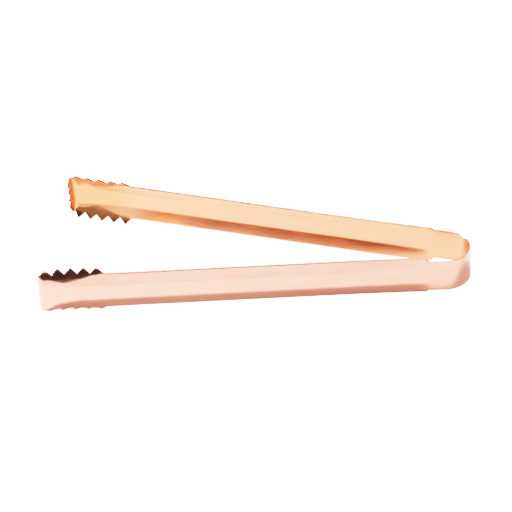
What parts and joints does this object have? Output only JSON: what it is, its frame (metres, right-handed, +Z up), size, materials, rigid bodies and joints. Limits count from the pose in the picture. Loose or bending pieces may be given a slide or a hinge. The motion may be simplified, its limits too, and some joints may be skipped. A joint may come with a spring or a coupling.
{
  "type": "ice tongs",
  "caption": "Spring ice tongs pressed from a metal strip: round bow, shallow-channel arms, and toothed scoop claws with bent end walls.",
  "frame": {"origin": "centre of the tongs' box on the floor they lie on, with the strip standing on its long edges", "axes": "+X towards the bow, claws to -X; the two arms open along Y, near arm at -Y; +Z up along the strip's width"},
  "size_m": [0.1816, 0.0762, 0.0234],
  "materials": {
    "plated_strip": "polished rose-gold plating on stainless spring strip, with a faint lengthwise grain"
  },
  "bodies": {
    "bow": {"spring_bow": "plated_strip"},
    "near_jaw": {"near_arm": "plated_strip", "near_claw": "plated_strip"},
    "far_jaw": {"far_arm": "plated_strip", "far_claw": "plated_strip"}
  },
  "joints": [
    {"name": "far_flex", "type": "hinge", "parent": "bow", "child": "far_jaw", "pos_m": [0.08347, 0.00809, 0.00876], "axis": [0.0182, 0, 0.9998], "range_deg": [-2.5, 10.7], "stiffness_Nm_per_rad": 5.2},
    {"name": "near_flex", "type": "hinge", "parent": "bow", "child": "near_jaw", "pos_m": [0.08347, -0.00809, 0.00876], "axis": [-0.0182, 0, -0.9998], "range_deg": [-2.5, 10.7], "stiffness_Nm_per_rad": 5.2}
  ],
  "couplings": [
    {"joint": "near_flex", "follows": "far_flex", "ratio": 1}
  ]
}
